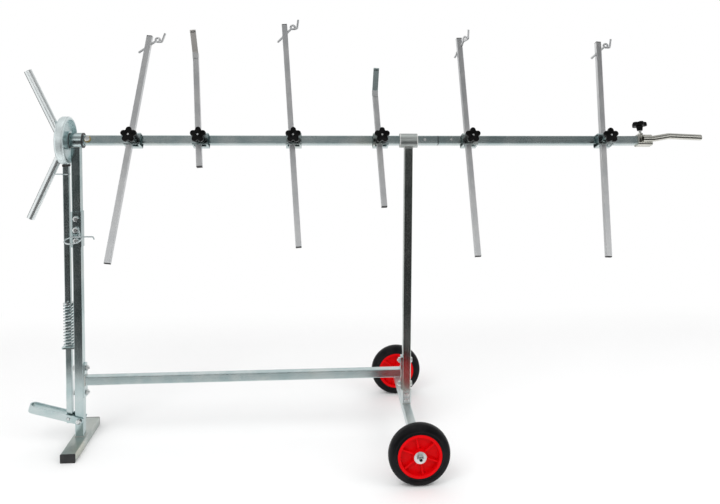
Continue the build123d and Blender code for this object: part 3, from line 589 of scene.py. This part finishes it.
def knobRows(start):
    # from the hub's foot up over the grip to the dimple in its top
    skirt = start + knob["hub"]
    top = skirt + knob["thick"]
    inner = knob["radius"] - 2 * knob["lobe"]
    soft = knob["hubSoft"]
    rows = [lambda a: (knob["screw"], start), lambda a: (knob["hubBottom"] - soft, start),
            lambda a: (knob["hubBottom"], start + soft), lambda a: (knob["hubTop"], skirt - knob["hubGap"])]
    sides = [(share, skirt + rise) for share, rise in knob["skirt"]]
    sides += [(share, top - below) for share, below in knob["shoulder"]]
    for share, height in sides:
        rows.append(lambda a, share=share, height=height: (starRadius(a) * share, height))
    for share, rise in knob["dimple"]:
        rows.append(lambda a, share=share, rise=rise: (inner * share, top + rise))
    return rows


def makeKnob(name, body, place, length):
    # the node that the grip stands for has its body's name
    grip = Shape().polar(knobRows(length), knob["segments"], place)
    addPiece(name + "Grip", grip, "knobBlack", body, knob["sharp"], [body])
    screw = addThread(Shape(), place, knob["screw"], length + knob["screwIn"], knob["pitch"], knob["depth"])
    foot, dot = length + knob["hub"] + knob["thick"] - knob["dotDeep"], knob["dot"]
    end = [(0.0, foot), (dot, foot)] + [(dot * share, foot + rise) for share, rise in knob["dotEnd"]]
    screw.revolve(end, knob["dotSegments"], place)
    addPiece(name + "Screw", screw, "hardware", body)


def makeKnobs():
    for number, arm in zip(armNumbers, arms):
        place = beamFrame @ facing((arm["x"] + knob["aside"], -knob["armTip"], -knob["low"]), (0, -1, 0))
        makeKnob(f"knob{number}", f"knob_{number}", place, knob["armScrew"])
    place = beamFrame @ facing((knob["endPlace"], 0, knob["endTip"]), (0, 0, 1))
    makeKnob("endKnob", "end_knob", place, knob["endScrew"])


# tyres: solid rubber with a bead lip, ringed sidewalls and round shoulders
tyre = {"profile": ((0.0712, 0.0212), (0.0722, 0.0219), (0.0745, 0.0220), (0.0758, 0.0214), (0.0768, 0.0206),
                    (0.0785, 0.0206), (0.0796, 0.0213), (0.0830, 0.0217), (0.0868, 0.0216), (0.0884, 0.0208),
                    (0.0892, 0.0203), (0.0904, 0.0204), (0.0916, 0.0200), (0.0944, 0.0181), (0.0968, 0.0152),
                    (0.0986, 0.0114), (0.0996, 0.0072), (0.0999, 0.0030), (0.0999, 0.0008), (0.1000, 0.0003)),
        "segments": 128, "sharp": 40.0}


def makeTyres():
    half = list(tyre["profile"])
    ring = half + [(radius, -height) for radius, height in reversed(half)] + [half[0]]
    for name, side in (("near", -1), ("far", 1)):
        place = facing((stand["rearX"], side * stand["wheelY"], stand["wheelRadius"]), (0, side, 0))
        shape = Shape().revolve(ring, tyre["segments"], place)
        addPiece(f"tyre{name.capitalize()}", shape, "tyreRubber", f"wheel_{name}", tyre["sharp"],
                 [f"tyre_{name}"])


# return spring between guide and washer
spring = {"x": -0.035, "foot": 0.3503, "length": 0.152, "wire": 0.002, "radius": 0.0162, "turns": 14,
          "stepsPerTurn": 30, "sides": 10, "shortened": 0.942}


def makeSpring():
    wire, count = spring["wire"], spring["turns"] * spring["stepsPerTurn"]
    path = []
    for step in range(count + 1):
        angle = 2 * math.pi * step / spring["stepsPerTurn"]
        x = spring["x"] + spring["radius"] * math.cos(angle)
        height = spring["foot"] + wire + (spring["length"] - 2 * wire) * step / count
        path.append(Vector((x, spring["radius"] * math.sin(angle), height)))
    shape = Shape().tube(path, [wire] * len(path), spring["sides"])
    piece = addPiece("returnSpring", shape, "wireZinc", "frame", standsFor=["return_spring"])
    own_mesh(piece)


# weld beads; each drift is a rate, a start and a share of the radius
weld = {"radius": 0.0021, "step": 0.0009, "ripple": 0.0026, "depth": 0.16, "sides": 8, "endSize": 0.5,
        "drifts": ((410.0, 0.0, 0.05), (173.0, 1.0, 0.06))}


def spaced(corners, closed):
    # points at even steps along straight runs between the corners
    points = []
    runs = list(zip(corners, corners[1:] + corners[:1] if closed else corners[1:]))
    for start, end in runs:
        count = max(1, int((end - start).length / weld["step"]))
        points += [start.lerp(end, step / count) for step in range(count)]
    return points if closed else points + [corners[-1]]


def bead(shape, corners, closed=True, size=1.0):
    path = spaced([Vector(corner) for corner in corners], closed)
    radii, travelled = [], 0.0
    for step, point in enumerate(path):
        travelled += (point - path[step - 1]).length if step else 0.0
        ripple = abs(math.sin(math.pi * travelled / weld["ripple"]))
        drift = sum(math.sin(travelled * rate + start) * share for rate, start, share in weld["drifts"])
        radii.append(weld["radius"] * size * (1 - weld["depth"] * ripple + drift))
    if not closed:
        radii[0], radii[-1] = radii[0] * weld["endSize"], radii[-1] * weld["endSize"]
    return shape.tube(path, radii, weld["sides"], closed)


def squareOutline(x, half, height, count=10):
    # round a square post's end, at the height where it meets the tube that it is welded to
    corners = []
    for startX, startY, endX, endY in ((-1, -1, 1, -1), (1, -1, 1, 1), (1, 1, -1, 1), (-1, 1, -1, -1)):
        for step in range(count):
            share = step / count
            y = half * (startY + (endY - startY) * share)
            corners.append((x + half * (startX + (endX - startX) * share), y, height(y)))
    return corners


frameWelds = {"headSleeve": 0.0265, "rearSleeve": 0.0254, "footTop": 0.030, "stretcher": 0.228,
              "flange": 0.021, "axleTop": 0.115, "guideTop": 0.350}


def makeFrameWelds():
    half, rear = stand["tubeHalf"], stand["rearX"]
    shape = Shape()
    for x, sleeve in ((0.0, frameWelds["headSleeve"]), (rear, frameWelds["rearSleeve"])):
        bead(shape, squareOutline(x, half, lambda y: stand["beamHeight"] - math.sqrt(sleeve ** 2 - y ** 2)))
    bead(shape, squareOutline(0.0, half, lambda y: frameWelds["footTop"]))
    low, high = frameWelds["stretcher"] - half, frameWelds["stretcher"] + half
    for x in (frameWelds["flange"], rear - frameWelds["flange"]):
        bead(shape, [(x, -half, low), (x, half, low), (x, half, high), (x, -half, high)])
    for side in (-1, 1):
        y, z = side * stand["sleeveHalf"], frameWelds["axleTop"]
        bead(shape, [(rear - half, y, z), (rear + half, y, z)], False)
    bead(shape, [(-half, -half, frameWelds["guideTop"]), (-half, half, frameWelds["guideTop"])], False)
    addPiece("frameWelds", shape, "weldZinc", "frame")


handleWelds = {"face": -0.050, "drop": 0.016, "root": 0.022, "radius": 0.013, "lean": math.radians(24.8),
               "steps": 72, "size": 1.1}


def makeHandleWelds():
    # each tube leaves an ellipse on the disc, without the part inside the other tube
    shape = Shape()
    across, along = handleWelds["radius"], handleWelds["radius"] / math.sin(handleWelds["lean"])
    middle, root = stand["beamHeight"] - handleWelds["drop"], handleWelds["root"]
    for side in (-1, 1):
        corners = []
        for step in range(handleWelds["steps"]):
            turn = 2 * math.pi * step / handleWelds["steps"] - side * math.pi / 2
            y, z = across * math.cos(turn), side * root + along * math.sin(turn)
            if (y / across) ** 2 + ((z + side * root) / along) ** 2 > 1.0:
                corners.append((handleWelds["face"], y, middle + z))
        bead(shape, corners, False, handleWelds["size"])
    addPiece("handleWelds", shape, "weldZinc", "rotor")


# hooks on the arms: beads where the rod passes through the tube, or along the strip
hooks = {"half": 0.010, "front": 0.0252, "drop": 0.040, "slope": 28.0 / 29.0, "rod": 0.004, "rodSteps": 24,
         "rodSize": 0.62, "stripHalf": 0.0097, "stripLow": -0.022, "stripHigh": -0.001, "stripSize": 0.6}


def crossing(axis, normal):
    # ring where the hook's rod leaves one face of the arm's tube
    first = axis.orthogonal().normalized()
    second = axis.cross(first).normalized()
    ring = []
    for step in range(hooks["rodSteps"]):
        turn = 2 * math.pi * step / hooks["rodSteps"]
        start = (first * math.cos(turn) + second * math.sin(turn)) * hooks["rod"]
        ring.append(start + axis * ((hooks["half"] - start.dot(normal)) / axis.dot(normal)))
    return ring


def makeHookWelds():
    for number, arm in zip(armNumbers, arms):
        tilt, turn = math.radians(arm["tilt"]), math.radians(arm["turn"])
        place = beamFrame @ Matrix.Translation((arm["x"], -hooks["front"], 0)) @ Matrix.Rotation(tilt, 4, "Y")
        shape = Shape()
        if arm["hook"] == "rod":
            axis = Vector((math.cos(turn), math.sin(turn), hooks["slope"]))
            face = Vector((1, 0, 0)) if abs(axis.x) > abs(axis.y) else Vector((0, 1, 0))
            middle = Vector((0, 0, arm["above"] - hooks["drop"]))
            for normal in (face, -face):
                ring = [place @ (middle + point) for point in crossing(axis, normal)]
                bead(shape, ring, True, hooks["rodSize"])
        else:
            askew = Matrix.Translation((0, 0, arm["above"])) @ Matrix.Rotation(turn, 4, "Y")
            limit, heights = hooks["stripHalf"], (hooks["stripLow"], hooks["stripHigh"])
            for edge in (-limit, limit):
                ends = [askew @ Vector((edge, -hooks["half"], height)) for height in heights]
                for end in ends:
                    end.x = max(-limit, min(limit, end.x))
                bead(shape, [place @ end for end in ends], False, hooks["stripSize"])
        addPiece(f"hookWeld{number}", shape, "weldZinc", f"arm_{number}")


makeFrameBolts()
makePedalBolt()
makeBeamBolts()
makeAxleNuts()
print("bolts, nuts and washers made")
makeKnobs()
makeTyres()
makeSpring()
print("knobs, tyres and spring made")
makeFrameWelds()
makeHandleWelds()
makeHookWelds()
print("welds made")


# studio: white all round for every ray that shows it, a little dimmer as light
studio = {"white": 1.0, "light": 0.90}


def makeWorld():
    world = bpy.data.worlds.new("studio")
    bpy.context.scene.world = world
    world.use_nodes = True
    shader = Shader(world.node_tree)
    shown = shader.add("ShaderNodeLightPath", output="Is Camera Ray")
    for name in ("Is Glossy Ray", "Is Transmission Ray"):
        ray = shader.add("ShaderNodeLightPath", output=name)
        shown = shader.add("ShaderNodeMath", {"operation": "MAXIMUM"}, {0: shown, 1: ray})
    lit = shader.add("ShaderNodeBackground", {}, {"Color": grey(1.0), "Strength": studio["light"]})
    plain = shader.add("ShaderNodeBackground", {}, {"Color": grey(1.0), "Strength": studio["white"]})
    both = shader.add("ShaderNodeMixShader", {}, {0: shown, 1: lit, 2: plain})
    shader.finish(both, "ShaderNodeOutputWorld")


# grey cards far round the stage: they stand out of the picture and give the metal its dark reflections
cards = {"centre": (1.0, 0.0, 0.0), "segments": 64, "front": -1.3, "back": 0.6,
         "ground": {"profile": ((0.0, -0.004), (7.0, -0.004), (7.0, 1.60)), "near": 0.055, "far": 0.75,
                    "leftSlope": 0.45, "left": (-0.1, 0.5), "leftEnd": (0.0, 1.0), "leftTone": 1.0,
                    "corner": (0.6, 1.8), "cornerTone": 0.10},
         "ceiling": {"profile": ((7.0, 4.5), (7.0, 7.5), (5.0, 9.5)), "near": 0.36, "far": 0.55,
                     "right": (0.3, 3.6), "rightTone": 0.20}}


def makeCards():
    for name in ("ground", "ceiling"):
        card = cards[name]
        form = Shape().revolve(card["profile"], cards["segments"], Matrix.Translation(cards["centre"]))
        mesh = bpy.data.meshes.new(name + "Card")
        mesh.from_pydata([tuple(point) for point in form.points], [], form.faces)
        material, shader = newMaterial(name + "Card")
        across, deep = shader.along("X"), shader.along("Y")
        depth = shader.between(deep, cards["front"], cards["back"])
        tone = shader.mixColour(depth, grey(card["near"]), grey(card["far"]))
        if name == "ground":
            left = shader.between(deep * card["leftSlope"] - across, *card["left"])
            behind = shader.between(deep, *card["leftEnd"])
            tone = shader.mixColour(left * (1 - behind), tone, grey(card["leftTone"]))
            corner = shader.between(0 - across, *card["corner"]) * behind
            tone = shader.mixColour(corner, tone, grey(card["cornerTone"]))
        else:
            right = shader.between(across, *card["right"])
            tone = shader.mixColour(right * (1 - depth), tone, grey(card["rightTone"]))
        shader.finish(shader.emit(tone))
        mesh.materials.append(material)
        plane = bpy.data.objects.new(name + "Card", mesh)
        bpy.context.collection.objects.link(plane)
        plane.visible_camera = plane.visible_diffuse = False
        plane.visible_shadow = plane.visible_transmission = False


floor = {"low": (-1.3, -0.62), "high": (3.5, 1.5), "tone": 0.90,
         "fadeX": 0.7, "fadeNear": 0.12, "fadeFar": 0.6}


def makeFloor():
    mesh = bpy.data.meshes.new("floor")
    (left, near), (right, far) = floor["low"], floor["high"]
    mesh.from_pydata([(left, near, 0), (right, near, 0), (right, far, 0), (left, far, 0)], [], [(0, 1, 2, 3)])
    plane = bpy.data.objects.new("floor", mesh)
    bpy.context.collection.objects.link(plane)
    material, shader = newMaterial("floor")
    matte = shader.add("ShaderNodeBsdfDiffuse", {}, {"Color": grey(floor["tone"])})
    along, deep = shader.along("X"), shader.along("Y")
    inside = shader.between(along, left, left + floor["fadeX"])
    inside = inside * shader.between(right - along, 0.0, floor["fadeX"])
    inside = inside * shader.between(deep, near, near + floor["fadeNear"])
    inside = inside * shader.between(far - deep, 0.0, floor["fadeFar"])
    shader.finish(shader.add("ShaderNodeMixShader", {}, {0: inside, 1: shader.emit(grey(1.0)), 2: matte}))
    mesh.materials.append(material)


lamps = {"key": {"at": (-0.6, -2.6, 3.4), "to": (0.8, 0.0, 0.8), "size": 2.2, "watts": 55.0},
         "fill": {"at": (3.6, -1.6, 2.6), "to": (1.0, 0.0, 0.8), "size": 2.0, "watts": 25.0}}


def makeLamps():
    for name, lamp in lamps.items():
        data = bpy.data.lights.new(name, "AREA")
        data.energy, data.size = lamp["watts"], lamp["size"]
        lit = bpy.data.objects.new(name, data)
        lit.location = lamp["at"]
        aim = Vector(lamp["to"]) - Vector(lamp["at"])
        lit.rotation_euler = aim.to_track_quat("-Z", "Y").to_euler()
        bpy.context.collection.objects.link(lit)
        lit.visible_glossy = False


# camera fitted to the photograph: focal length and principal point in its pixels
camera = {"at": (0.8290, -2.5979, 1.2719), "yaw": 4.821, "pitch": -3.092, "roll": 0.401, "focal": 729.3,
          "middle": (378.0, 125.0), "image": (720, 504), "sensor": 36.0}


def makeCamera():
    yaw, pitch, roll = (math.radians(camera[key]) for key in ("yaw", "pitch", "roll"))
    forward = Vector((math.sin(yaw) * math.cos(pitch), math.cos(yaw) * math.cos(pitch), math.sin(pitch)))
    level = Vector((math.cos(yaw), -math.sin(yaw), 0.0))
    upright = level.cross(forward)
    right = math.cos(roll) * level + math.sin(roll) * upright
    up = math.cos(roll) * upright - math.sin(roll) * level
    width, height = camera["image"]
    data = bpy.data.cameras.new("camera")
    data.sensor_fit, data.sensor_width = "HORIZONTAL", camera["sensor"]
    data.lens = camera["focal"] * camera["sensor"] / width
    data.shift_x = (width / 2 - camera["middle"][0]) / width
    data.shift_y = (camera["middle"][1] - height / 2) / width
    viewer = bpy.data.objects.new("camera", data)
    turn = Matrix((right, up, -forward)).transposed().to_4x4()
    viewer.matrix_world = Matrix.Translation(camera["at"]) @ turn
    bpy.context.collection.objects.link(viewer)
    bpy.context.scene.camera = viewer


makeWorld()
makeCards()
makeFloor()
makeLamps()
makeCamera()
bpy.context.scene.view_settings.view_transform = "Standard"
print("studio and camera set")
